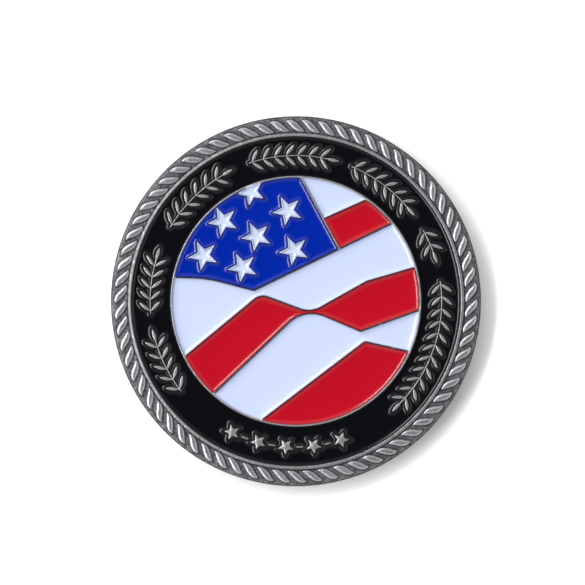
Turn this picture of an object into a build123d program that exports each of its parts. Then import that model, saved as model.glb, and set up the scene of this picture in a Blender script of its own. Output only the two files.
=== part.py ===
"""Challenge coin: one struck metal body and the soft enamel that fills its recesses.

The coin lies flat on its reverse, with the obverse facing +Z and the top of the design
towards +Y.  The origin is the centre of the reverse, on the plane that it rests on.
Lengths are in millimetres.
"""

from build123d import *
from math import cos, hypot, pi, radians, sin
import os

# ---- driving dimensions ----------------------------------------------------------------

coin_diameter = 44.45
coin_thickness = 3.0

shoulder_width = 0.22       # rounded edge outside the rope
shoulder_drop = 0.24        # how far the shoulder falls from the rope's floor to the side
rope_lobes = 70
rope_turn = 2.8             # direction of the first strand, in degrees
rope_mid_radius = 21.03
rope_lobe_rise = 0.25       # lobes above the floor that they stand on
rope_floor_depth = 0.30     # floor of the rope below the smooth band
band_outer_radius = 20.16   # smooth band between the rope and the recess
band_crest_radius = 19.90   # where the band's level top ends and its slope begins
band_inner_radius = 19.81
band_fall = 0.036           # how far the band's slope falls
band_foot = 0.08            # how far the band's outer flank leans out

line_depth = 0.15           # raised lines and ornament below the smooth band
recess_depth = 0.60         # floor of the enamel recesses below the smooth band
enamel_depth = 0.30         # surface of the enamel below the smooth band

ring_line_outer = 15.05     # raised circle round the flag
ring_line_inner = 14.83
stripe_line_width = 0.16
canton_line_width = 0.22

star_radius = 1.86
star_waist = 0.42           # radius of the notches over the radius of the tips
star_line_width = 0.15
star_turn = 44.0            # direction of one tip, in degrees

garland_radius = 17.49
garland_stem_width = 0.20
leaf_length = 1.80
leaf_width = 0.46
leaf_lean = 48.0            # between a leaf and its stem, in degrees
leaf_step = 4.8             # between two pairs of leaves, in degrees round the coin
end_leaf_start = 1.2        # how far back along the stem the leaf at its end begins, degrees
row_star_radius = 1.15
row_bar_length = 0.90
row_bar_width = 0.24

reverse_field_depth = 0.40
reverse_relief_rise = 0.25
reverse_star_radius = 8.2
wreath_radius = 13.4
wreath_leaf_length = 3.1
wreath_leaf_width = 1.15
wreath_pairs = 11
reverse_ring_outer = 17.95
reverse_ring_inner = 17.65

coin_radius = coin_diameter / 2
far = coin_diameter         # well outside the coin

band_z = coin_thickness
rope_floor_z = band_z - rope_floor_depth
line_z = band_z - line_depth
recess_z = band_z - recess_depth
enamel_z = band_z - enamel_depth

# ---- lines of the flag -----------------------------------------------------------------
# Each is a run of points from left to right, with the radius that rounds each corner.

canton_foot = ([(-far, 3.76), (-10.63, 2.75), (-5.05, 1.28), (far, 25.3)], [16.0, 0.5])
red_1_head = ([(-far, -11.52), (far, 28.31)], [])
red_2_head = (
    [(-far, -32.4), (-4.26, 0.85), (1.78, -1.38), (8.47, 2.38), (far, 12.87)],
    [1.6, 3.0, 1.2],
)
red_2_foot = ([(-far, -43.9), (1.05, -0.79), (7.75, -3.61), (far, 9.53)], [3.9, 0.5])
red_3_head = ([(-far, -45.0), (8.26, -4.84), (far, -12.9)], [0.5])

canton_side_top = (-15.29, far)
canton_side_foot = (5.18, 6.36)

# ---- the words of the border are leaves instead: start and end of each sprig, degrees ----

sprigs = [
    (218.4, 190.7),
    (185.1, 158.5),
    (149.7, 114.9),
    (108.8, 72.6),
    (67.7, 35.3),
    (29.5, 14.2),
    (8.1, -49.5),
]
row_stars = [244.0, 255.0, 266.0, 277.0, 288.0]

flag_stars = [
    (-5.36, 13.12),
    (-8.72, 9.59),
    (-1.00, 10.86),
    (-4.72, 7.79),
    (-11.08, 5.48),
    (-0.22, 6.09),
    (-6.37, 4.06),
]


# ---- outlines --------------------------------------------------------------------------


def parallel(points, shift):
    """The same run of points moved sideways, to the left of its direction."""
    moved = []
    for place, point in enumerate(points):
        before = points[max(place - 1, 0)]
        after = points[min(place + 1, len(points) - 1)]
        here = Vector(*point)
        towards = here - Vector(*before)
        away = Vector(*after) - here
        if towards.length == 0:
            towards = away
        if away.length == 0:
            away = towards
        left_in = Vector(-towards.Y, towards.X).normalized()
        left_out = Vector(-away.Y, away.X).normalized()
        moved.append(here + (left_in + left_out) * (shift / (1 + left_in.dot(left_out))))
    return moved


def below(line, shift):
    """Everything below one line of the flag, with that line moved up by shift."""
    points, radii = line
    moved = parallel(points, shift)
    rounded = []
    for corner, radius in enumerate(radii):
        one = moved[corner + 1] - moved[corner]
        other = moved[corner + 2] - moved[corner + 1]
        turns_left = one.X * other.Y - one.Y * other.X > 0
        rounded.append(radius - shift if turns_left else radius + shift)
    if rounded:
        edge = FilletPolyline(*moved, radius=rounded)
    else:
        edge = Polyline(*moved)
    start = edge @ 0
    end = edge @ 1
    rest = Polyline(end, (far, -2 * far), (-far, -2 * far), start)
    return make_face(edge.edges() + rest.edges())


def right_of_canton(shift):
    """Everything right of the canton's side, with that side moved to the right by shift."""
    top, foot = parallel([canton_side_foot, canton_side_top], -shift)[::-1]
    run = foot - top
    low = foot + run * 1.5
    return make_face(Polyline(top, (2 * far, far), (2 * far, low.Y), low, close=True).edges())


def star_face(radius, waist):
    """A five-pointed star about the origin, with one tip along +X."""
    points = []
    for step in range(10):
        reach = radius if step % 2 == 0 else radius * waist
        points.append((reach * cos(pi * step / 5), reach * sin(pi * step / 5)))
    return make_face(Polyline(*points, close=True).edges())


def star_inset(radius, waist, width):
    """The radius of the star whose edges lie the given width inside another's."""
    edge = hypot(radius - radius * waist * cos(pi / 5), radius * waist * sin(pi / 5))
    edge_distance = radius * radius * waist * sin(pi / 5) / edge
    return radius * (1 - width / edge_distance)


def leaf_face(length, width):
    """A leaf pointed at both ends, from the origin along +X."""
    one = ThreePointArc((0, 0), (length / 2, width / 2), (length, 0))
    other = ThreePointArc((length, 0), (length / 2, -width / 2), (0, 0))
    return make_face(one.edges() + other.edges())


def ring_face(outer, inner):
    """A flat ring about the origin."""
    return Circle(outer) - Circle(inner)


def ring_part(outer, inner, start, end):
    """The part of a ring between two directions, given in degrees."""
    middle = (start + end) / 2
    half = abs(end - start) / 2
    reach = outer / cos(radians(half))
    wedge = make_face(
        Polyline(
            (0, 0),
            (reach * cos(radians(half)), -reach * sin(radians(half))),
            (2 * reach, 0),
            (reach * cos(radians(half)), reach * sin(radians(half))),
            close=True,
        ).edges()
    )
    return ring_face(outer, inner) & (Rot(0, 0, middle) * wedge)


# ---- the obverse -----------------------------------------------------------------------


def sprig_face(start, end):
    """A laurel sprig that runs clockwise round the border from start to end."""
    pairs = round(abs(start - end) / leaf_step) - 1
    step = abs(start - end) / (pairs + 1)
    half_stem = garland_stem_width / 2
    sprig = ring_part(garland_radius + half_stem, garland_radius - half_stem, end + step, start)
    tip = Rot(0, 0, end + step + end_leaf_start) * Pos(garland_radius, 0) * Rot(0, 0, -90)
    leaves = [tip * leaf_face(leaf_length, leaf_width)]
    for pair in range(pairs):
        place = Rot(0, 0, start - step * (pair + 0.25)) * Pos(garland_radius, 0)
        for side in (leaf_lean, -leaf_lean):
            leaves.append(place * Rot(0, 0, side - 90) * leaf_face(leaf_length, leaf_width))
    return sprig + leaves


def row_face():
    """The row at the foot of the border: small stars with a short bar between each two."""
    marks = []
    for direction in row_stars:
        upright = Pos(garland_radius, 0) * star_face(row_star_radius, star_waist)
        marks.append(Rot(0, 0, direction) * upright)
    for left, right in zip(row_stars, row_stars[1:]):
        bar = Pos(garland_radius, 0) * Rectangle(row_bar_width, row_bar_length)
        marks.append(Rot(0, 0, (left + right) / 2) * bar)
    return marks


def border_cell():
    """The recess of the black enamel, with the ornament standing in it."""
    cell = ring_face(band_inner_radius, ring_line_outer)
    for start, end in sprigs:
        cell = cell - sprig_face(start, end)
    return cell - row_face()


def star_places():
    """Where each star of the canton stands."""
    return [Pos(x, y) * Rot(0, 0, star_turn) for x, y in flag_stars]


def flag_cells():
    """The recess of each colour of the flag, by the name of the enamel that fills it."""
    disc = Circle(ring_line_inner)
    half = stripe_line_width / 2
    canton = disc - below(canton_foot, half) - right_of_canton(-canton_line_width / 2)
    fly = disc & right_of_canton(canton_line_width / 2)
    cells = {
        "white_stripe_1": fly - below(red_1_head, half),
        "red_stripe_1": (fly & below(red_1_head, -half)) - below(canton_foot, half),
        "white_stripe_2": (disc & below(canton_foot, -half)) - below(red_2_head, half),
        "red_stripe_2": (disc & below(red_2_head, -half)) - below(red_2_foot, half),
        "white_stripe_3": (disc & below(red_2_foot, -half)) - below(red_3_head, half),
        "red_stripe_3": disc & below(red_3_head, -half),
    }
    inner_radius = star_inset(star_radius, star_waist, star_line_width)
    inner_disc = Circle(ring_line_inner - star_line_width / 2)
    for number, place in enumerate(star_places(), start=1):
        canton = canton - place * star_face(star_radius, star_waist)
        cells[f"star_{number}"] = inner_disc & (place * star_face(inner_radius, star_waist))
    cells["canton_blue"] = canton
    return cells


# ---- the struck body -------------------------------------------------------------------


def coin_blank():
    """The turned shape of the coin: side, shoulders, rope floors, bands and both fields."""
    shoulder_radius = coin_radius - shoulder_width
    top_edge_z = rope_floor_z - shoulder_drop
    low_edge_z = coin_thickness - top_edge_z
    low_floor_z = coin_thickness - rope_floor_z
    belly = sin(pi / 4)
    upper_round = ThreePointArc(
        (shoulder_radius, rope_floor_z),
        (shoulder_radius + shoulder_width * belly, rope_floor_z - shoulder_drop * (1 - belly)),
        (coin_radius, top_edge_z),
    )
    lower_round = ThreePointArc(
        (coin_radius, low_edge_z),
        (shoulder_radius + shoulder_width * belly, low_floor_z + shoulder_drop * (1 - belly)),
        (shoulder_radius, low_floor_z),
    )
    upper = Polyline(
        (0, line_z),
        (band_inner_radius, line_z),
        (band_inner_radius, band_z),
        (band_crest_radius, band_z),
        (band_outer_radius, band_z - band_fall),
        (band_outer_radius + band_foot, rope_floor_z),
        (shoulder_radius, rope_floor_z),
    )
    side = Line((coin_radius, top_edge_z), (coin_radius, low_edge_z))
    lower = Polyline(
        (shoulder_radius, low_floor_z),
        (band_outer_radius + band_foot, low_floor_z),
        (band_outer_radius, band_fall),
        (band_crest_radius, 0),
        (band_inner_radius, 0),
        (band_inner_radius, reverse_field_depth),
        (0, reverse_field_depth),
        (0, line_z),
    )
    outline = upper.edges() + upper_round.edges() + side.edges()
    outline = outline + lower_round.edges() + lower.edges()
    return revolve(Plane.XZ * make_face(outline), Axis.Z)


def lobe_face():
    """One strand of the rope, a slanted leaf: its outer end lies further anticlockwise."""
    half = [(0.62, 1.10), (0.73, 0.76), (0.65, 0.30), (0.36, -0.16), (-0.06, -0.60), (-0.44, -0.97)]
    whole = half + [(-out, -along) for out, along in half]
    return make_face(Spline(*whole, periodic=True).edges())


def rope(floor_z, rise):
    """The lobes of one face, which stand on the rope's floor and are sunk a little in it."""
    sunk = 0.1 if rise > 0 else -0.1
    lobes = []
    for number in range(rope_lobes):
        turn = rope_turn + 360 * number / rope_lobes
        place = Rot(0, 0, turn) * Pos(rope_mid_radius, 0, floor_z - sunk)
        lobes.append(place * extrude(lobe_face(), rise + sunk))
    return lobes


def reverse_relief():
    """The relief of the reverse: a star, an open wreath round it and a raised circle."""
    upright = Rot(0, 0, 90)
    faces = [upright * star_face(reverse_star_radius, star_waist)]
    faces.append(ring_face(reverse_ring_outer, reverse_ring_inner))
    step = 150 / wreath_pairs
    for side in (1, -1):
        for pair in range(wreath_pairs):
            direction = -90 + side * (10 + step * pair)
            place = Rot(0, 0, direction) * Pos(wreath_radius, 0)
            for lean in (38, -38):
                growing = Rot(0, 0, side * (90 - lean))
                faces.append(place * growing * leaf_face(wreath_leaf_length, wreath_leaf_width))
    return faces


def struck_body(cells):
    """The whole metal piece: the blank, the rope and the relief, less every recess."""
    solid = coin_blank()
    solid = solid + rope(rope_floor_z, rope_lobe_rise)
    solid = solid + rope(coin_thickness - rope_floor_z, -rope_lobe_rise)
    relief_top_z = reverse_field_depth - reverse_relief_rise
    raised = []
    for face in reverse_relief():
        raised.append(Pos(0, 0, relief_top_z) * extrude(face, reverse_relief_rise + 0.1))
    solid = solid + raised
    recesses = []
    for cell in cells.values():
        recesses.append(Pos(0, 0, recess_z) * extrude(cell, recess_depth))
    return solid - recesses


# ---- making every piece ----------------------------------------------------------------

os.makedirs("parts", exist_ok=True)

cells = flag_cells()
cells["border_black"] = border_cell()

for name, cell in cells.items():
    fill = Pos(0, 0, recess_z) * extrude(cell, recess_depth - enamel_depth)
    export_step(fill, f"parts/{name}_enamel.step")

export_step(struck_body(cells), "parts/struck_body.step")
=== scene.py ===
"""Looks of the challenge coin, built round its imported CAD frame.

The outlines of every enamel cell, rope strand and relief are read off the CAD nodes.  The
struck metal and each enamel are then made again as closed meshes whose heights follow from
the distance to those outlines: rounded metal edges, domed strands, creased leaves, faceted
stars, and enamel that climbs its walls.
"""

import math

import bpy
import numpy as np
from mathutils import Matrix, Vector
from mathutils.geometry import delaunay_2d_cdt
from mathutils.kdtree import KDTree


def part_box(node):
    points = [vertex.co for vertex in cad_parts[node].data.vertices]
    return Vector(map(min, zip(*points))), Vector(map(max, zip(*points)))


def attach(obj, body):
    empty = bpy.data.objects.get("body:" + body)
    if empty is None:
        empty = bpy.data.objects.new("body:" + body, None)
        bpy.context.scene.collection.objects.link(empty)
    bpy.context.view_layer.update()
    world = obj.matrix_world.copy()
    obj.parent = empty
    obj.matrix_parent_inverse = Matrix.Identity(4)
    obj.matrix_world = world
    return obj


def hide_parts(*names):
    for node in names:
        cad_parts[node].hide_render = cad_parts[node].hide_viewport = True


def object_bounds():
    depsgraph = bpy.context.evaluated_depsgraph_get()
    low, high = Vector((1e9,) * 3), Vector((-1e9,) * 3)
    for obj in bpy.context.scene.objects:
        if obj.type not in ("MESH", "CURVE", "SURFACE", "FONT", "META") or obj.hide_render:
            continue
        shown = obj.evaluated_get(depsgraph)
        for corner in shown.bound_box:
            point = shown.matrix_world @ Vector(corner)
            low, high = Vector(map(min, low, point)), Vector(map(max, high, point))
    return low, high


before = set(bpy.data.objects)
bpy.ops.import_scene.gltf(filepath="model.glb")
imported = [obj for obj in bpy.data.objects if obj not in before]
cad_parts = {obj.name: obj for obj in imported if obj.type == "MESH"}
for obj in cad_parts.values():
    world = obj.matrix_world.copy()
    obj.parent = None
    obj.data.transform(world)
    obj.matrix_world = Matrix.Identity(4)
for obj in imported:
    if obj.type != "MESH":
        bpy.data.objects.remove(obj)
cad_low, cad_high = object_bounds()

MM = 0.001
BODY = "struck_body"
BORDER = "border_black_enamel"
ENAMELS = sorted(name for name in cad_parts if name.endswith("_enamel"))

# ---- sizes read from the frame, in millimetres -------------------------------------------

coin_radius = cad_high.x / MM
thickness = cad_high.z / MM
recess_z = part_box(BORDER)[0].z / MM
border_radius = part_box(BORDER)[1].x / MM

# ---- sizes of the design that the frame doesn't name, in millimetres ----------------------

line_z = 2.85               # tops of the raised lines and ornament
strand_z = 2.95             # tops of the rope's strands
rope_floor_z = 2.70
reverse_strand_z = 0.05
reverse_relief_z = 0.15
reverse_field_z = 0.40
reverse_rope_floor_z = 0.30
shoulder_width = 0.22
shoulder_drop = 0.24
band_foot_radius = 20.22
rope_start = band_foot_radius - 0.06    # a triangle centred further out is part of the rope
flag_radius = 14.83
canton_side = ((5.18, 6.36), (0.59, 14.79))

# the smooth band: how far it has fallen from its crest at each radius
BAND_RADII = (19.81, 19.86, 19.89, 19.95, 20.16, 20.21, 20.25)
BAND_FALLS = (0.035, 0.0, 0.001, 0.013, 0.036, 0.16, 0.30)

# one strand of the rope: how much of its full height it has at each distance from its outline
STRAND_DISTANCES = (0.0, 0.05, 0.17, 0.28, 0.42)
STRAND_SHARES = (0.0, 0.55, 0.86, 0.97, 1.0)

# how far the metal's edge lies below the top of each kind of raised work, and how wide its
# rounding is
line_edge_drop = 0.06
line_rounding = 0.08
star_line_edge_drop = 0.09
leaf_edge_drop = 0.13
leaf_crease = 0.07
row_star_edge_drop = 0.17
row_star_slope = 0.36       # width of a small star's slopes, inside which it is flat
stripe_line_drop = 0.02
strand_foot = 0.07          # a strand's least height, and the fillet in the groove beside it
relief_star_slope = 2.6     # the same on the reverse's star

# the enamel: its level in the middle, the height of its edge, and how fast it climbs to it
enamel_z = 2.46
star_enamel_z = 2.60
enamel_edge_z = 2.79
enamel_spread = 0.30
ring_dip = 0.7              # share of the climb that the black enamel lacks by the flag's ring

EDGE_POINTS = 420           # points round the rim, six to each strand of the rope
ARC_STEPS = 6               # rings round each rounded shoulder of the rim
CORNER = math.radians(24)   # an outline that turns more than this at a point has a corner

# areas that tell one kind of outline from another, in square millimetres
BORDER_ORNAMENT_AREA = 400  # the border's ornament is smaller, its two circles larger
SPRIG_AREA = 2.2            # a sprig is larger, a small star or bar smaller
ROW_STAR_AREA = 0.5         # a small star is larger, a bar smaller
FLAG_STAR_AREA = 6          # a whole star is smaller, the canton's own outline larger
RELIEF_RING_AREA = 500      # the reverse's ring is larger
RELIEF_STAR_AREA = 30       # the reverse's star is larger, a leaf smaller

# distance between two points of an outline: enamel, strands, then the reverse's two
OUTLINE_STEP = 0.17
STRAND_STEP = 0.18
BACK_STRAND_STEP = 0.28
RELIEF_STEP = 0.32

# loose points that carry the rounded shapes: how far beside their outline each row of them is
WALL_ROWS = (0.035, 0.08, 0.15)
STRAND_ROWS = (0.05, 0.11, 0.17, 0.28)
GROOVE_ROWS = (0.07, 0.18)
BACK_STRAND_ROWS = (0.05, 0.17, 0.28)
BACK_GROOVE_ROWS = (0.10,)
RELIEF_ROWS = (0.06, 0.15, 0.28, 0.45, 0.9, 1.6)
RELIEF_FOOT_ROWS = (0.08,)
ENAMEL_ROWS = (0.03, 0.08, 0.14, 0.21, 0.29, 0.39, 0.52, 0.70)

# and the radii of the rings of them on the smooth band and on the reverse's field
BAND_RINGS = (19.86, 19.89, 19.95, 20.16, 20.21)
BACK_BAND_RINGS = (19.70, 19.755, 19.81, 19.86, 19.89, 19.95, 20.16, 20.21)
BACK_FIELD_RINGS = (18.3, 18.8, 19.3)

RIM_MARGIN = 0.03           # kept free of loose points inside the rim circle
RIM_TARNISH = 0.78          # an even tarnish on the coin's side
ENAMEL_GRID = 0.9           # between loose points in the middle of an enamel


# ---- outlines -----------------------------------------------------------------------------


def outlines(node, level):
    """The outlines of a node's flat faces at one height, each a closed run of points."""
    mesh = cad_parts[node].data
    place = np.empty(len(mesh.vertices) * 3, np.float32)
    mesh.vertices.foreach_get("co", place)
    place = place.reshape(-1, 3).astype(float) / MM
    level_points = np.abs(place[:, 2] - level) < 0.004
    names = {}
    spots = []
    label = np.full(len(place), -1)
    for index in np.flatnonzero(level_points):
        key = (round(place[index, 0], 4), round(place[index, 1], 4))
        if key not in names:
            names[key] = len(spots)
            spots.append(place[index, :2])
        label[index] = names[key]
    edges = set()
    for face in mesh.polygons:
        ring = [int(label[v]) for v in face.vertices]
        if min(ring) < 0 or len(set(ring)) < len(ring):
            continue
        edges.update(zip(ring, ring[1:] + ring[:1]))
    following = {a: b for a, b in edges if (b, a) not in edges}
    runs = []
    while following:
        here = next(iter(following))
        run = []
        while here in following:
            run.append(here)
            here = following.pop(here)
        runs.append(np.array([spots[i] for i in run]))
    return runs


def unit(rows):
    """Each row at length one."""
    return rows / np.maximum(np.hypot(rows[:, 0], rows[:, 1]), 1e-12)[:, None]


def mirrored(rows, about):
    """Each row reflected in the direction that goes with it."""
    return 2 * (rows * about).sum(1)[:, None] * about - rows


def refined(run, step):
    """An outline with a point every step: smooth where it bends, its corners kept."""
    ahead = np.roll(run, -1, 0) - run
    length = np.hypot(ahead[:, 0], ahead[:, 1])
    going = unit(ahead)
    coming = np.roll(going, 1, 0)
    before = np.roll(length, 1)
    turn = np.abs(np.arctan2(coming[:, 0] * going[:, 1] - coming[:, 1] * going[:, 0],
                             (coming * going).sum(1)))
    corner = turn > CORNER
    tangent = unit(coming * length[:, None] + going * before[:, None])
    tangent[length > 2.5 * before] = going[length > 2.5 * before]
    tangent[before > 2.5 * length] = coming[before > 2.5 * length]
    leaving = tangent.copy()
    arriving = np.roll(tangent, -1, 0)
    ends_sharp = np.roll(corner, -1)
    leaving[corner] = mirrored(arriving, going)[corner]
    arriving[ends_sharp] = mirrored(leaving, going)[ends_sharp]
    leaving[corner & ends_sharp] = going[corner & ends_sharp]
    arriving[corner & ends_sharp] = going[corner & ends_sharp]
    made = []
    for index in range(len(run)):
        count = max(1, math.ceil(length[index] / step - 0.25))
        t = (np.arange(count) / count)[:, None]
        start = run[index]
        stop = start + ahead[index]
        made.append(
            (2 * t**3 - 3 * t**2 + 1) * start
            + (t**3 - 2 * t**2 + t) * length[index] * leaving[index]
            + (3 * t**2 - 2 * t**3) * stop
            + (t**3 - t**2) * length[index] * arriving[index]
        )
    return np.vstack(made)


def area(run):
    """The area inside an outline, below zero where it runs clockwise."""
    after = np.roll(run, -1, 0)
    return 0.5 * (run[:, 0] * after[:, 1] - run[:, 1] * after[:, 0]).sum()


def segment_distance(points, start, stop):
    """How far each point is from the segment that goes with it."""
    along = stop - start
    share = ((points - start) * along).sum(1) / np.maximum((along**2).sum(1), 1e-12)
    nearest = start + np.clip(share, 0, 1)[:, None] * along
    return np.hypot(*(points - nearest).T)


class Outlines:
    """Several outlines together, and the distance of any point from them."""

    def __init__(self, runs):
        self.points = np.vstack(runs)
        self.owner = np.repeat(np.arange(len(runs)), [len(run) for run in runs])
        indices = np.arange(len(self.points))
        self.after = indices + 1
        self.before = indices - 1
        start = 0
        for run in runs:
            stop = start + len(run)
            self.after[stop - 1] = start
            self.before[start] = stop - 1
            start = stop
        self.tree = KDTree(len(self.points))
        for index, (x, y) in enumerate(self.points):
            self.tree.insert((x, y, 0), index)
        self.tree.balance()

    def reach(self, points):
        """The distance of each point from the nearest outline, and which outline it is."""
        near = np.array([self.tree.find((x, y, 0))[1] for x, y in points], int)
        here = self.points[near]
        one = segment_distance(points, self.points[self.before[near]], here)
        other = segment_distance(points, here, self.points[self.after[near]])
        return np.minimum(one, other), self.owner[near]

    def rows(self, offset):
        """Points beside every outline, to its left by offset, where that is their distance."""
        side = math.copysign(1, offset)
        going = unit(self.points[self.after] - self.points)
        coming = unit(self.points - self.points[self.before])
        left_in = np.c_[-coming[:, 1], coming[:, 0]] * side
        left_out = np.c_[-going[:, 1], going[:, 0]] * side
        cross = (coming[:, 0] * going[:, 1] - coming[:, 1] * going[:, 0]) * side
        turn = np.arccos(np.clip((coming * going).sum(1), -1, 1))
        directions = [unit(left_in + left_out)]
        bases = [self.points]
        fan = (turn > math.radians(35)) & (cross < 0)
        for share in (0.0, 0.2, 0.4, 0.6, 0.8, 1.0):
            directions.append(unit(left_in[fan] * (1 - share) + left_out[fan] * share))
            bases.append(self.points[fan])
        placed = np.vstack(bases) + np.vstack(directions) * abs(offset)
        distance, _ = self.reach(placed)
        return placed[distance > 0.97 * abs(offset)]


def thinned(groups):
    """The points of several (points, gap) groups, less any within its gap of one kept."""
    cell = 0.05
    kept = {}
    out = []
    for points, gap in groups:
        reach = int(math.ceil(gap / cell))
        for x, y in points:
            column, row = int(x // cell), int(y // cell)
            clash = False
            for i in range(column - reach, column + reach + 1):
                for j in range(row - reach, row + reach + 1):
                    for u, v in kept.get((i, j), ()):
                        if (u - x) ** 2 + (v - y) ** 2 < gap * gap:
                            clash = True
                            break
                    if clash:
                        break
                if clash:
                    break
            if not clash:
                kept.setdefault((column, row), []).append((x, y))
                out.append((x, y))
    return np.array(out).reshape(-1, 2)


def circle(radius, count, turn=0.0):
    """Points round a circle about the coin's axis, anticlockwise."""
    angle = 2 * math.pi * (np.arange(count) + turn) / count
    return radius * np.c_[np.cos(angle), np.sin(angle)]


def triangulated(runs, loose):
    """Points, triangles, and how many of the runs each triangle lies in."""
    faces = []
    start = 0
    for run in runs:
        ring = list(range(start, start + len(run)))
        faces.append(ring if area(run) > 0 else ring[::-1])
        start += len(run)
    given = np.vstack(runs + ([loose] if len(loose) else []))
    points, _, triangles, _, _, inside = delaunay_2d_cdt(
        [Vector(p) for p in given], [], faces, 0, 1e-6, True
    )
    spots = np.array([(p.x, p.y) for p in points])
    depth = np.array([len(set(owners)) for owners in inside])
    return spots, np.array(triangles, int), depth


def counterclockwise(spots, triangles):
    """The same triangles, all seen anticlockwise from above."""
    a, b, c = (spots[triangles[:, k]] for k in range(3))
    turn = (b[:, 0] - a[:, 0]) * (c[:, 1] - a[:, 1]) - (b[:, 1] - a[:, 1]) * (c[:, 0] - a[:, 0])
    fixed = triangles.copy()
    fixed[turn < 0] = fixed[turn < 0][:, ::-1]
    return fixed


def wall_edges(triangles, chosen):
    """Directed edges of the chosen triangles whose other side isn't chosen."""
    sides = set()
    for a, b, c in triangles[chosen]:
        sides.update(((a, b), (b, c), (c, a)))
    other = set()
    for a, b, c in triangles[~chosen]:
        other.update(((a, b), (b, c), (c, a)))
    return [(a, b) for a, b in sides if (b, a) in other]


def step_up(value, low, high):
    """Zero below low, one above high, and smooth between."""
    t = np.clip((value - low) / (high - low), 0, 1)
    return t * t * (3 - 2 * t)


def swell(distance, width):
    """A rounded shoulder: from zero at an edge to one at the given distance inside it."""
    t = np.clip(distance / width, 0, 1)
    return np.sqrt(np.maximum(1 - (1 - t) ** 2, 0))


# ---- meshes -------------------------------------------------------------------------------


def made_object(name, vertices, faces, values, sharp):
    """A mesh object from points in millimetres, with named values on its points."""
    mesh = bpy.data.meshes.new(name)
    mesh.from_pydata((np.asarray(vertices) * MM).tolist(), [], faces)
    for key, amounts in values.items():
        layer = mesh.attributes.new(key, "FLOAT", "POINT")
        layer.data.foreach_set("value", np.asarray(amounts, np.float32))
    mesh.validate()
    mesh.update()
    mesh.polygons.foreach_set("use_smooth", [True] * len(mesh.polygons))
    mesh.set_sharp_from_angle(angle=math.radians(sharp))
    made = bpy.data.objects.new(name, mesh)
    bpy.context.scene.collection.objects.link(made)
    return made


def rope_patina(from_strand, in_strand):
    """Tarnish of the rope: down in the grooves beside each strand, worn off its top."""
    flank = 0.54 - 0.46 * (1 - step_up(from_strand, 0.12, 0.24))
    flank += 0.45 * (1 - step_up(from_strand, 0.0, 0.05))
    groove = 0.61 + 0.32 * (1 - step_up(from_strand, 0.04, 0.30))
    return np.where(in_strand, flank, groove)


def band_patina(radius):
    """Tarnish of the smooth band: on its inner edge, and in the groove at its foot."""
    inner = 0.15 * (1 - step_up(radius, 19.90, 19.98))
    return 0.34 + inner + 0.5 * step_up(radius, 20.10, 20.22)


def obverse_heights(spots, walls, wall_kinds, strands, in_strand):
    """Height, tarnish and white film of the obverse metal at each point."""
    radius = np.hypot(spots[:, 0], spots[:, 1])
    away, owner = walls.reach(spots)
    kind = np.array(wall_kinds)[owner]

    height = line_z - line_edge_drop * (1 - swell(away, line_rounding))
    tarnish = 0.15 + 0.60 * (1 - step_up(away, 0.0, 0.10))

    ring = (kind == "cell") & (radius > flag_radius - 0.05) & (radius < flag_radius + 0.3)
    tarnish[ring] = 0.0
    light = (kind == "flag_star") | (kind == "star_side")
    tarnish[light] = 0.05
    height[light] = (line_z - star_line_edge_drop * (1 - swell(away, line_rounding)))[light]
    film = np.where(kind == "star_side", 1.0, np.where(light, 0.45, 0.0))
    ornament = (kind == "sprig") | (kind == "row_star") | (kind == "row_bar")
    tarnish[ornament] += 0.14

    leaf = kind == "sprig"
    leaf_height = line_z - leaf_edge_drop + leaf_edge_drop * swell(away, 0.13)
    leaf_height = leaf_height - leaf_crease * step_up(away, 0.14, 0.23)
    height[leaf] = leaf_height[leaf]
    star = kind == "row_star"
    facet = row_star_edge_drop * np.clip(away / row_star_slope, 0, 1)
    height[star] = (line_z - row_star_edge_drop + facet)[star]

    (fx, fy), (tx, ty) = canton_side
    span = math.hypot(tx - fx, ty - fy)
    beside = np.abs((spots[:, 0] - fx) * (ty - fy) - (spots[:, 1] - fy) * (tx - fx)) / span
    stripe = (kind == "cell") & (radius < flag_radius - 0.1) & (beside > 0.13)
    height[stripe] -= stripe_line_drop
    tarnish[stripe] = 0.9

    band = (radius > border_radius - 0.01) & (radius < band_foot_radius + 0.02)
    band_height = thickness - np.interp(radius, BAND_RADII, BAND_FALLS)
    height[band] = band_height[band]
    tarnish[band] = band_patina(radius)[band]

    rope = radius > band_foot_radius - 0.03
    from_strand, _ = strands.reach(spots)
    rise = strand_z - rope_floor_z
    dome = np.interp(from_strand, STRAND_DISTANCES, STRAND_SHARES)
    fillet = strand_foot * (1 - step_up(from_strand, 0.0, 0.14))
    domed = strand_foot + (rise - strand_foot) * dome
    rope_height = rope_floor_z + np.where(in_strand, domed, fillet)
    edge = step_up(radius, coin_radius - shoulder_width - 0.10, coin_radius - shoulder_width)
    rope_height = np.where(in_strand, rope_height, rope_height * (1 - edge) + rope_floor_z * edge)
    height[rope] = np.maximum(rope_height, np.where(band, band_height, 0))[rope]
    rope_tarnish = rope_patina(from_strand, in_strand)
    only_rope = radius > band_foot_radius + 0.01
    tarnish[only_rope] = rope_tarnish[only_rope]
    return height, np.clip(tarnish, 0, 1), film


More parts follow.
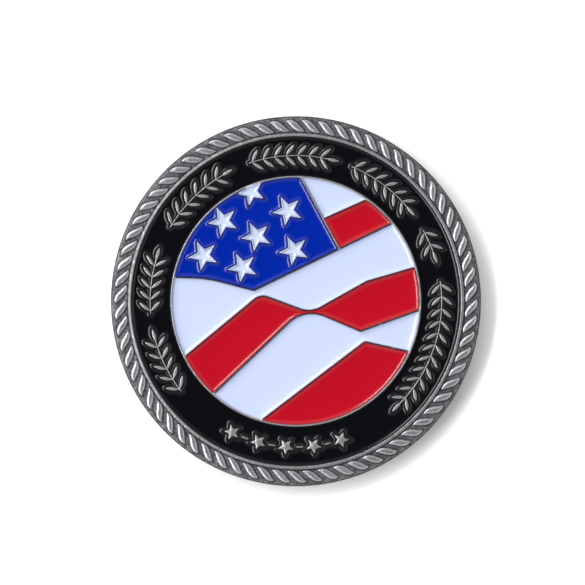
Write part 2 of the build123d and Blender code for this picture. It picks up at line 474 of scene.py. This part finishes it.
def reverse_heights(spots, relief, relief_kinds, in_relief, strands, in_strand):
    """Height and tarnish of the reverse at each point: its relief hangs towards the floor."""
    radius = np.hypot(spots[:, 0], spots[:, 1])
    away, owner = relief.reach(spots)
    kind = np.array(relief_kinds)[owner]
    rise = reverse_field_z - reverse_relief_z
    share = swell(away, 0.16)
    leaf = 0.35 + 0.65 * swell(away, 0.28) - 0.30 * step_up(away, 0.30, 0.56)
    facet = 0.15 + 0.85 * np.clip(away / relief_star_slope, 0, 1)
    share = np.where(kind == "leaf", leaf * step_up(away, 0.0, 0.05), share)
    share = np.where(kind == "star", facet * step_up(away, 0.0, 0.05), share)
    height = reverse_field_z - np.where(in_relief, rise * share, 0)
    tarnish = np.where(in_relief, 0.1, 0.5 + 0.4 * (1 - step_up(away, 0.05, 0.35)))

    band = (radius > border_radius - 0.12) & (radius < band_foot_radius + 0.02)
    crown = np.interp(radius, BAND_RADII, BAND_FALLS)
    foot = step_up(radius, border_radius - 0.10, border_radius)
    height[band] = (crown + (reverse_field_z - crown) * (1 - foot))[band]
    tarnish[band] = band_patina(radius)[band]

    rope = radius > band_foot_radius - 0.03
    from_strand, _ = strands.reach(spots)
    strand_rise = reverse_rope_floor_z - reverse_strand_z
    dome = np.interp(from_strand, STRAND_DISTANCES, STRAND_SHARES)
    rope_height = reverse_rope_floor_z - np.where(in_strand, strand_rise * dome, 0)
    height[rope] = np.minimum(rope_height, np.where(band, height, 9))[rope]
    rope_tarnish = rope_patina(from_strand, in_strand)
    only_rope = radius > band_foot_radius + 0.01
    tarnish[only_rope] = rope_tarnish[only_rope]
    return height, np.clip(tarnish, 0, 1)


def touched(count, triangles, chosen):
    """Which points belong to a chosen triangle."""
    mark = np.zeros(count, bool)
    mark[triangles[chosen].ravel()] = True
    return mark


def rope_rows(strands, insides, outsides):
    """Loose points along the rope's strands, at these distances inside and outside them."""
    groups = [(strands.rows(offset), 0.25 * offset + 0.02) for offset in insides]
    groups += [(strands.rows(-offset), 0.25 * offset + 0.02) for offset in outsides]
    return groups


def band_rows(radii, count):
    """Loose points round the smooth band at these radii, staggered from ring to ring."""
    return [(circle(radius, count, 0.5 * (k % 2)), 0.03) for k, radius in enumerate(radii)]


def cell_walls(enamel_runs):
    """The outlines of every enamel cell, and the kind of metal that each one borders."""
    runs = []
    kinds = []
    for name in ENAMELS:
        for run in enamel_runs[name]:
            runs.append(run)
            kind = "cell"
            size = abs(area(run))
            if name == BORDER and size < BORDER_ORNAMENT_AREA:
                small = "row_star" if size > ROW_STAR_AREA else "row_bar"
                kind = "sprig" if size > SPRIG_AREA else small
            elif name.startswith("star"):
                kind = "star_side"
            elif name == "canton_blue_enamel" and size < FLAG_STAR_AREA:
                kind = "flag_star"
            kinds.append(kind)
    return runs, kinds


def face_of(rim, runs, groups):
    """A face of the coin in plan: points, triangles, and for each triangle how many
    outlines it lies in and how far from the axis its centre is."""
    loose = thinned(groups)
    radius = np.hypot(loose[:, 0], loose[:, 1])
    loose = loose[radius < coin_radius - shoulder_width - RIM_MARGIN]
    spots, triangles, depth = triangulated([rim] + runs, loose)
    triangles = counterclockwise(spots, triangles)
    centre = spots[triangles].mean(1)
    return spots, triangles, depth, np.hypot(centre[:, 0], centre[:, 1])


def obverse_face(rim, enamel_runs):
    """The obverse: points, triangles, which are metal, and height, tarnish and film."""
    cell_runs, kinds = cell_walls(enamel_runs)
    walls = Outlines(cell_runs)
    strand_runs = [refined(run, STRAND_STEP) for run in outlines(BODY, strand_z)]
    strands = Outlines(strand_runs)
    groups = [(walls.rows(-offset), 0.25 * offset + 0.015) for offset in WALL_ROWS]
    groups += rope_rows(strands, STRAND_ROWS, GROOVE_ROWS)
    groups += band_rows(BAND_RINGS, 2 * EDGE_POINTS)
    spots, triangles, depth, out = face_of(rim, cell_runs + strand_runs, groups)
    in_rope = out > rope_start
    metal = in_rope | (depth % 2 != 0)
    in_strand = touched(len(spots), triangles, in_rope & (depth % 2 == 0))
    return spots, triangles, metal, obverse_heights(spots, walls, kinds, strands, in_strand)


def reverse_face(rim):
    """The reverse: points, triangles, and height and tarnish."""
    strand_runs = [refined(run[::-1], BACK_STRAND_STEP) for run in outlines(BODY, reverse_strand_z)]
    relief_runs = [refined(run[::-1], RELIEF_STEP) for run in outlines(BODY, reverse_relief_z)]
    kinds = []
    for run in relief_runs:
        size = abs(area(run))
        small = "star" if size > RELIEF_STAR_AREA else "leaf"
        kinds.append("ring" if size > RELIEF_RING_AREA else small)
    relief = Outlines(relief_runs)
    strands = Outlines(strand_runs)
    groups = [(relief.rows(offset), 0.4 * offset + 0.03) for offset in RELIEF_ROWS]
    groups += [(relief.rows(-offset), 0.4 * offset + 0.03) for offset in RELIEF_FOOT_ROWS]
    groups += rope_rows(strands, BACK_STRAND_ROWS, BACK_GROOVE_ROWS)
    groups += band_rows(BACK_BAND_RINGS, EDGE_POINTS)
    groups += band_rows(BACK_FIELD_RINGS, EDGE_POINTS // 2)
    spots, triangles, depth, out = face_of(rim, relief_runs + strand_runs, groups)
    inside = depth % 2 == 0
    in_strand = touched(len(spots), triangles, inside & (out > rope_start))
    in_relief = touched(len(spots), triangles, inside & (out < border_radius))
    return spots, triangles, reverse_heights(spots, relief, kinds, in_relief, strands, in_strand)


def rim_rings():
    """Radius and height of each ring of points round the rim, from the obverse down."""
    inner = coin_radius - shoulder_width
    upper_z = rope_floor_z - shoulder_drop
    lower_z = reverse_rope_floor_z + shoulder_drop
    turns = [math.radians(90 / ARC_STEPS * step) for step in range(1, ARC_STEPS + 1)]
    rings = []
    for turn in turns:
        rings.append((inner + shoulder_width * math.sin(turn),
                      rope_floor_z - shoulder_drop * (1 - math.cos(turn))))
    for share in (0.33, 0.67):
        rings.append((coin_radius, upper_z + (lower_z - upper_z) * share))
    for turn in reversed(turns):
        rings.append((inner + shoulder_width * math.sin(turn),
                      reverse_rope_floor_z + shoulder_drop * (1 - math.cos(turn))))
    return rings


def rim_order(spots, first):
    """The points of a face that lie on the rim circle, in the circle's own order."""
    radius = np.hypot(spots[:, 0], spots[:, 1])
    on_rim = np.flatnonzero(np.abs(radius - (coin_radius - shoulder_width)) < 1e-4)
    angle = np.arctan2(spots[on_rim, 1], spots[on_rim, 0]) % (2 * math.pi)
    place = np.round(angle / (2 * math.pi) * EDGE_POINTS).astype(int) % EDGE_POINTS
    return on_rim[np.argsort(place)] + first


def only_used(vertices, faces):
    """Which points belong to a face, and the faces in the numbers of those points alone."""
    used = np.zeros(len(vertices), bool)
    for face in faces:
        used[list(face)] = True
    renumber = np.cumsum(used) - 1
    return used, [tuple(int(renumber[v]) for v in face) for face in faces]


def struck_metal(enamel_runs):
    """The whole struck body as one closed mesh: obverse, recess floors, rim and reverse."""
    rim = circle(coin_radius - shoulder_width, EDGE_POINTS)
    spots, triangles, metal, (height, tarnish, film) = obverse_face(rim, enamel_runs)
    count = len(spots)
    vertices = [np.c_[spots, height], np.c_[spots, np.full(count, recess_z)]]
    values = [tarnish, np.ones(count)]
    faces = [tuple(t) for t in triangles[metal].tolist()]
    faces += [tuple(v + count for v in t) for t in triangles[~metal].tolist()]
    for a, b in wall_edges(triangles, metal):
        faces.append((b, a, a + count, b + count))

    top = 2 * count
    rows = [rim_order(spots, 0)]
    for ring_radius, ring_z in rim_rings():
        rows.append(np.arange(top, top + EDGE_POINTS))
        vertices.append(np.c_[circle(ring_radius, EDGE_POINTS), np.full(EDGE_POINTS, ring_z)])
        values.append(np.full(EDGE_POINTS, RIM_TARNISH))
        top += EDGE_POINTS

    back, back_triangles, (height, tarnish) = reverse_face(rim)
    faces += [tuple(v + top for v in t[::-1]) for t in back_triangles.tolist()]
    vertices.append(np.c_[back, height])
    values.append(tarnish)
    rows.append(rim_order(back, top))
    for upper, lower in zip(rows, rows[1:]):
        after_upper = np.roll(upper, -1)
        after_lower = np.roll(lower, -1)
        faces += zip(upper.tolist(), lower.tolist(), after_lower.tolist(), after_upper.tolist())

    vertices = np.vstack(vertices)
    values = np.concatenate(values)
    films = np.zeros(len(vertices))
    films[:count] = film
    used, faces = only_used(vertices, faces)
    kept = {"tarnish": values[used], "film": films[used]}
    return made_object("struck_metal", vertices[used], faces, kept, 40)


def enamel_fill(name, runs, low):
    """One enamel as a closed mesh: level in the middle and climbing its metal walls."""
    edges = Outlines(runs)
    groups = [(edges.rows(offset), 0.2 * offset + 0.02) for offset in ENAMEL_ROWS]
    corner_low = edges.points.min(0)
    corner_high = edges.points.max(0)
    across = np.arange(corner_low[0], corner_high[0], ENAMEL_GRID)
    up = np.arange(corner_low[1], corner_high[1], ENAMEL_GRID)
    shift = ENAMEL_GRID / 2
    grid = np.array([(x + shift * (j % 2), y) for j, y in enumerate(up) for x in across])
    distance, _ = edges.reach(grid)
    groups.append((grid[distance > ENAMEL_ROWS[-1]], 0.4))
    loose = thinned(groups)
    spots, triangles, depth = triangulated(runs, loose)
    triangles = counterclockwise(spots, triangles)
    inside = depth % 2 == 1
    triangles = triangles[inside]
    away, _ = edges.reach(spots)
    height = low + (enamel_edge_z - low) * np.exp(-away / enamel_spread)
    if name.startswith("border"):
        radius = np.hypot(spots[:, 0], spots[:, 1])
        by_ring = 1 - step_up(radius, flag_radius + 0.5, flag_radius + 1.0)
        height -= ring_dip * by_ring * (height - low)

    floor, floor_triangles, depth = triangulated(runs, np.zeros((0, 2)))
    floor_triangles = counterclockwise(floor, floor_triangles)[depth % 2 == 1]
    count = len(spots)
    partner = {(round(x, 5), round(y, 5)): k for k, (x, y) in enumerate(floor)}
    faces = [tuple(t) for t in triangles.tolist()]
    faces += [tuple(v + count for v in t[::-1]) for t in floor_triangles.tolist()]
    sides = set()
    for a, b, c in triangles.tolist():
        sides.update(((a, b), (b, c), (c, a)))
    for a, b in sides:
        if (b, a) in sides:
            continue
        a_low = partner[(round(spots[a, 0], 5), round(spots[a, 1], 5))] + count
        b_low = partner[(round(spots[b, 0], 5), round(spots[b, 1], 5))] + count
        faces.append((b, a, a_low, b_low))
    vertices = np.vstack([np.c_[spots, height], np.c_[floor, np.full(len(floor), recess_z)]])
    values = np.concatenate([away, np.zeros(len(floor))])
    used, faces = only_used(vertices, faces)
    return made_object(name, vertices[used], faces, {"from_wall": values[used]}, 50)


# ---- materials ----------------------------------------------------------------------------


class Shader:
    """A node material, built one node at a time."""

    def __init__(self, name):
        self.material = bpy.data.materials.new(name)
        self.material.use_nodes = True
        self.tree = self.material.node_tree
        self.tree.nodes.clear()
        self.surface = self.add("ShaderNodeBsdfPrincipled")
        output = self.add("ShaderNodeOutputMaterial")
        self.join(self.surface.outputs["BSDF"], output.inputs["Surface"])
        self.place = self.add("ShaderNodeTexCoord").outputs["Object"]

    def add(self, kind, **settings):
        """A new node with these settings."""
        node = self.tree.nodes.new(kind)
        for key, value in settings.items():
            setattr(node, key, value)
        return node

    def join(self, source, target):
        self.tree.links.new(source, target)

    def fill(self, socket, value):
        """A socket fed by another node, or set to a value."""
        if isinstance(value, bpy.types.NodeSocket):
            self.join(value, socket)
        else:
            socket.default_value = value

    def value(self, name):
        """A named value carried by the mesh's points."""
        return self.add("ShaderNodeAttribute", attribute_name=name).outputs["Fac"]

    def noise(self, scale, detail, roughness):
        """Fractal noise over the object, in features per metre."""
        node = self.add("ShaderNodeTexNoise")
        node.inputs["Scale"].default_value = scale
        node.inputs["Detail"].default_value = detail
        node.inputs["Roughness"].default_value = roughness
        self.join(self.place, node.inputs["Vector"])
        return node.outputs["Fac"]

    def math(self, operation, a, b=0.0, c=0.0):
        """The result of one operation on numbers or sockets."""
        node = self.add("ShaderNodeMath", operation=operation)
        for socket, value in zip(node.inputs, (a, b, c)):
            self.fill(socket, value)
        return node.outputs[0]

    def ramp(self, source, low, high, start=0.0, stop=1.0):
        """A source between low and high, spread over start to stop."""
        node = self.add("ShaderNodeMapRange", interpolation_type="SMOOTHSTEP")
        self.fill(node.inputs["Value"], source)
        limits = {"From Min": low, "From Max": high, "To Min": start, "To Max": stop}
        for key, value in limits.items():
            node.inputs[key].default_value = value
        return node.outputs["Result"]

    def mix(self, share, one, other):
        """Two colours mixed."""
        node = self.add("ShaderNodeMix", data_type="RGBA")
        self.fill(node.inputs["Factor"], share)
        self.fill(node.inputs["A"], one if not isinstance(one, tuple) else (*one, 1.0))
        self.fill(node.inputs["B"], other if not isinstance(other, tuple) else (*other, 1.0))
        return node.outputs["Result"]

    def bump(self, height, depth, strength):
        """A bump of the given depth, in metres."""
        node = self.add("ShaderNodeBump")
        node.inputs["Strength"].default_value = strength
        node.inputs["Distance"].default_value = depth
        self.fill(node.inputs["Height"], height)
        self.join(node.outputs["Normal"], self.surface.inputs["Normal"])

    def set(self, **values):
        """The surface's inputs, by name, with colours as three numbers."""
        for key, value in values.items():
            socket = self.surface.inputs[key.replace("_", " ")]
            if isinstance(value, tuple):
                value = (*value, 1.0)
            self.fill(socket, value)


def antique_silver():
    """Blackened silver plating: bright where it is rubbed, dark where the black stays."""
    shader = Shader("antique_silver")
    tarnish = shader.value("tarnish")
    cloud = shader.noise(900, 5, 0.6)
    grain = shader.noise(3400, 4, 0.65)
    fine = shader.noise(12000, 2, 0.5)
    uneven = shader.math("MULTIPLY_ADD", cloud, 0.45, -0.225)
    dark = shader.math("ADD", tarnish, uneven)
    dark = shader.math("MULTIPLY_ADD", grain, 0.7, shader.math("SUBTRACT", dark, 0.35))
    share = shader.ramp(dark, 0.0, 1.0)
    colour = shader.mix(share, (0.47, 0.47, 0.49), (0.030, 0.030, 0.035))
    film = shader.value("film")
    film = shader.math("MULTIPLY_ADD", grain, 1.2, shader.math("SUBTRACT", film, 0.75))
    film = shader.ramp(film, 0.0, 0.5)
    colour = shader.mix(film, colour, (0.37, 0.42, 0.53))
    metallic = shader.math("MULTIPLY_ADD", film, -0.93, 0.93)
    rough = shader.ramp(dark, 0.1, 0.9, 0.35, 0.60)
    rough = shader.math("MULTIPLY_ADD", fine, 0.12, shader.math("SUBTRACT", rough, 0.06))
    shader.set(Base_Color=colour, Metallic=metallic, Roughness=rough)
    height = shader.math("MULTIPLY_ADD", fine, 0.35, grain)
    shader.bump(height, 0.00004, 0.8)
    return shader.material


def enamel(name, colour, dark_tone_and_shade, shine):
    """Cured soft enamel: glossy, a little uneven, and darkened by painted shade against the metal
    walls.
    """
    shader = Shader(name)
    away = shader.value("from_wall")
    cloud = shader.noise(260, 3, 0.5)
    fine = shader.noise(2600, 3, 0.55)
    # painted shade: within 0.24 mm of a metal wall the colour is pulled towards the second colour,
    # and the cloud noise adds a random darker tone
    near = shader.ramp(away, 0.0, 0.24, 0.60, 0.0)
    share = shader.math("MULTIPLY_ADD", shader.math("SUBTRACT", cloud, 0.5), 0.18, near)
    tint = shader.mix(shader.ramp(share, 0.0, 1.0), colour, dark_tone_and_shade)
    rough = shader.ramp(fine, 0.3, 0.7, 0.10, 0.17)
    shader.set(Base_Color=tint, Roughness=rough)
    shader.surface.inputs["IOR"].default_value = 1.50
    shader.surface.inputs["Specular IOR Level"].default_value = shine
    height = shader.math("MULTIPLY_ADD", fine, 0.12, cloud)
    shader.bump(height, 0.00001, 0.25)
    return shader.material


def floor_material():
    """Plain white paper."""
    shader = Shader("floor_white")
    mottle = shader.noise(40, 3, 0.5)
    colour = shader.mix(mottle, (0.80, 0.80, 0.80), (0.83, 0.83, 0.83))
    shader.set(Base_Color=colour, Roughness=0.85)
    return shader.material


# ---- the object ---------------------------------------------------------------------------

silver = antique_silver()
# each enamel's second colour serves both its random darker tone and the painted shade beside the
# metal walls
looks = {
    "black": enamel("black_enamel", (0.0022, 0.0020, 0.0032), (0.005, 0.005, 0.006), 0.22),
    "blue": enamel("blue_enamel", (0.0, 0.0110, 0.208), (0.0, 0.0025, 0.05), 0.32),
    "red": enamel("red_enamel", (0.298, 0.0026, 0.0100), (0.13, 0.0015, 0.006), 0.40),
    "white": enamel("white_enamel", (0.362, 0.410, 0.56), (0.25, 0.28, 0.38), 0.48),
}

enamel_top = {name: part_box(name)[1].z / MM for name in ENAMELS}
enamel_runs = {
    name: [refined(run, OUTLINE_STEP) for run in outlines(name, enamel_top[name])]
    for name in ENAMELS
}

metal = struck_metal(enamel_runs)
metal.data.materials.append(silver)
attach(metal, "root")
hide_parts(BODY)

for name in ENAMELS:
    tone = "white"
    for word in ("black", "blue", "red"):
        if word in name:
            tone = word
    low = star_enamel_z if name.startswith("star") else enamel_z
    fill = enamel_fill(name.replace("_enamel", "_fill"), enamel_runs[name], low)
    fill.data.materials.append(looks[tone])
    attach(fill, "root")
    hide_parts(name)


# ---- floor, light and camera --------------------------------------------------------------


def flat_floor(size, z):
    """A plain square floor."""
    corners = [(-size, -size, z), (size, -size, z), (size, size, z), (-size, size, z)]
    mesh = bpy.data.meshes.new("floor")
    mesh.from_pydata(corners, [], [(0, 1, 2, 3)])
    made = bpy.data.objects.new("floor", mesh)
    bpy.context.scene.collection.objects.link(made)
    return made


def softbox(name, azimuth, elevation, across, tall, brightness):
    """A flat lamp 1.5 m off: its direction and the angles that it spans, all in degrees."""
    distance = 1.5
    a, e = math.radians(azimuth), math.radians(elevation)
    towards = Vector((math.cos(a) * math.cos(e), math.sin(a) * math.cos(e), math.sin(e)))
    lamp = bpy.data.lights.new(name, "AREA")
    lamp.shape = "RECTANGLE"
    lamp.size = 2 * distance * math.tan(math.radians(across) / 2)
    lamp.size_y = 2 * distance * math.tan(math.radians(tall) / 2)
    lamp.energy = brightness * math.pi * lamp.size * lamp.size_y
    made = bpy.data.objects.new(name, lamp)
    made.location = distance * towards
    made.rotation_mode = "QUATERNION"
    made.rotation_quaternion = towards.to_track_quat("Z", "Y")
    made.visible_camera = False
    bpy.context.scene.collection.objects.link(made)
    return made


floor = flat_floor(3.0, -0.00001)
floor.data.materials.append(floor_material())

softbox("key", 171, 48, 76, 12, 14.5)
window = softbox("window", 118, 44, 80, 36, 2.8)
window.visible_glossy = False
softbox("fill", -12, 42, 36, 12, 2.0)


def studio_world(overhead, around, seen):
    """A soft room: dimmer overhead than around, and pale where the camera looks into it."""
    world = bpy.data.worlds.new("studio")
    world.use_nodes = True
    tree = world.node_tree
    tree.nodes.clear()
    place = tree.nodes.new("ShaderNodeTexCoord")
    axes = tree.nodes.new("ShaderNodeSeparateXYZ")
    tree.links.new(place.outputs["Generated"], axes.inputs["Vector"])
    height = tree.nodes.new("ShaderNodeMapRange")
    height.interpolation_type = "SMOOTHSTEP"
    height.inputs["From Min"].default_value = 0.72
    height.inputs["From Max"].default_value = 0.985
    height.inputs["To Min"].default_value = around
    height.inputs["To Max"].default_value = overhead
    tree.links.new(axes.outputs["Z"], height.inputs["Value"])
    path = tree.nodes.new("ShaderNodeLightPath")
    choice = tree.nodes.new("ShaderNodeMix")
    tree.links.new(path.outputs["Is Camera Ray"], choice.inputs[0])
    tree.links.new(height.outputs["Result"], choice.inputs[2])
    choice.inputs[3].default_value = seen
    light = tree.nodes.new("ShaderNodeBackground")
    tree.links.new(choice.outputs[0], light.inputs["Strength"])
    output = tree.nodes.new("ShaderNodeOutputWorld")
    tree.links.new(light.outputs["Background"], output.inputs["Surface"])
    light.inputs["Color"].default_value = (1, 1, 1, 1)
    bpy.context.scene.world = world


studio_world(0.05, 0.80, 0.93)

view_width = 0.07015         # metres of the coin's plane that the picture spans
camera_height = 0.36
lens = bpy.data.cameras.new("camera")
lens.sensor_width = 36.0
lens.lens = lens.sensor_width * camera_height / view_width
camera = bpy.data.objects.new("camera", lens)
camera.location = (-0.000414, 0.001048, camera_height + thickness * MM)
bpy.context.scene.collection.objects.link(camera)
bpy.context.scene.camera = camera
bpy.context.scene.view_settings.view_transform = "Standard"
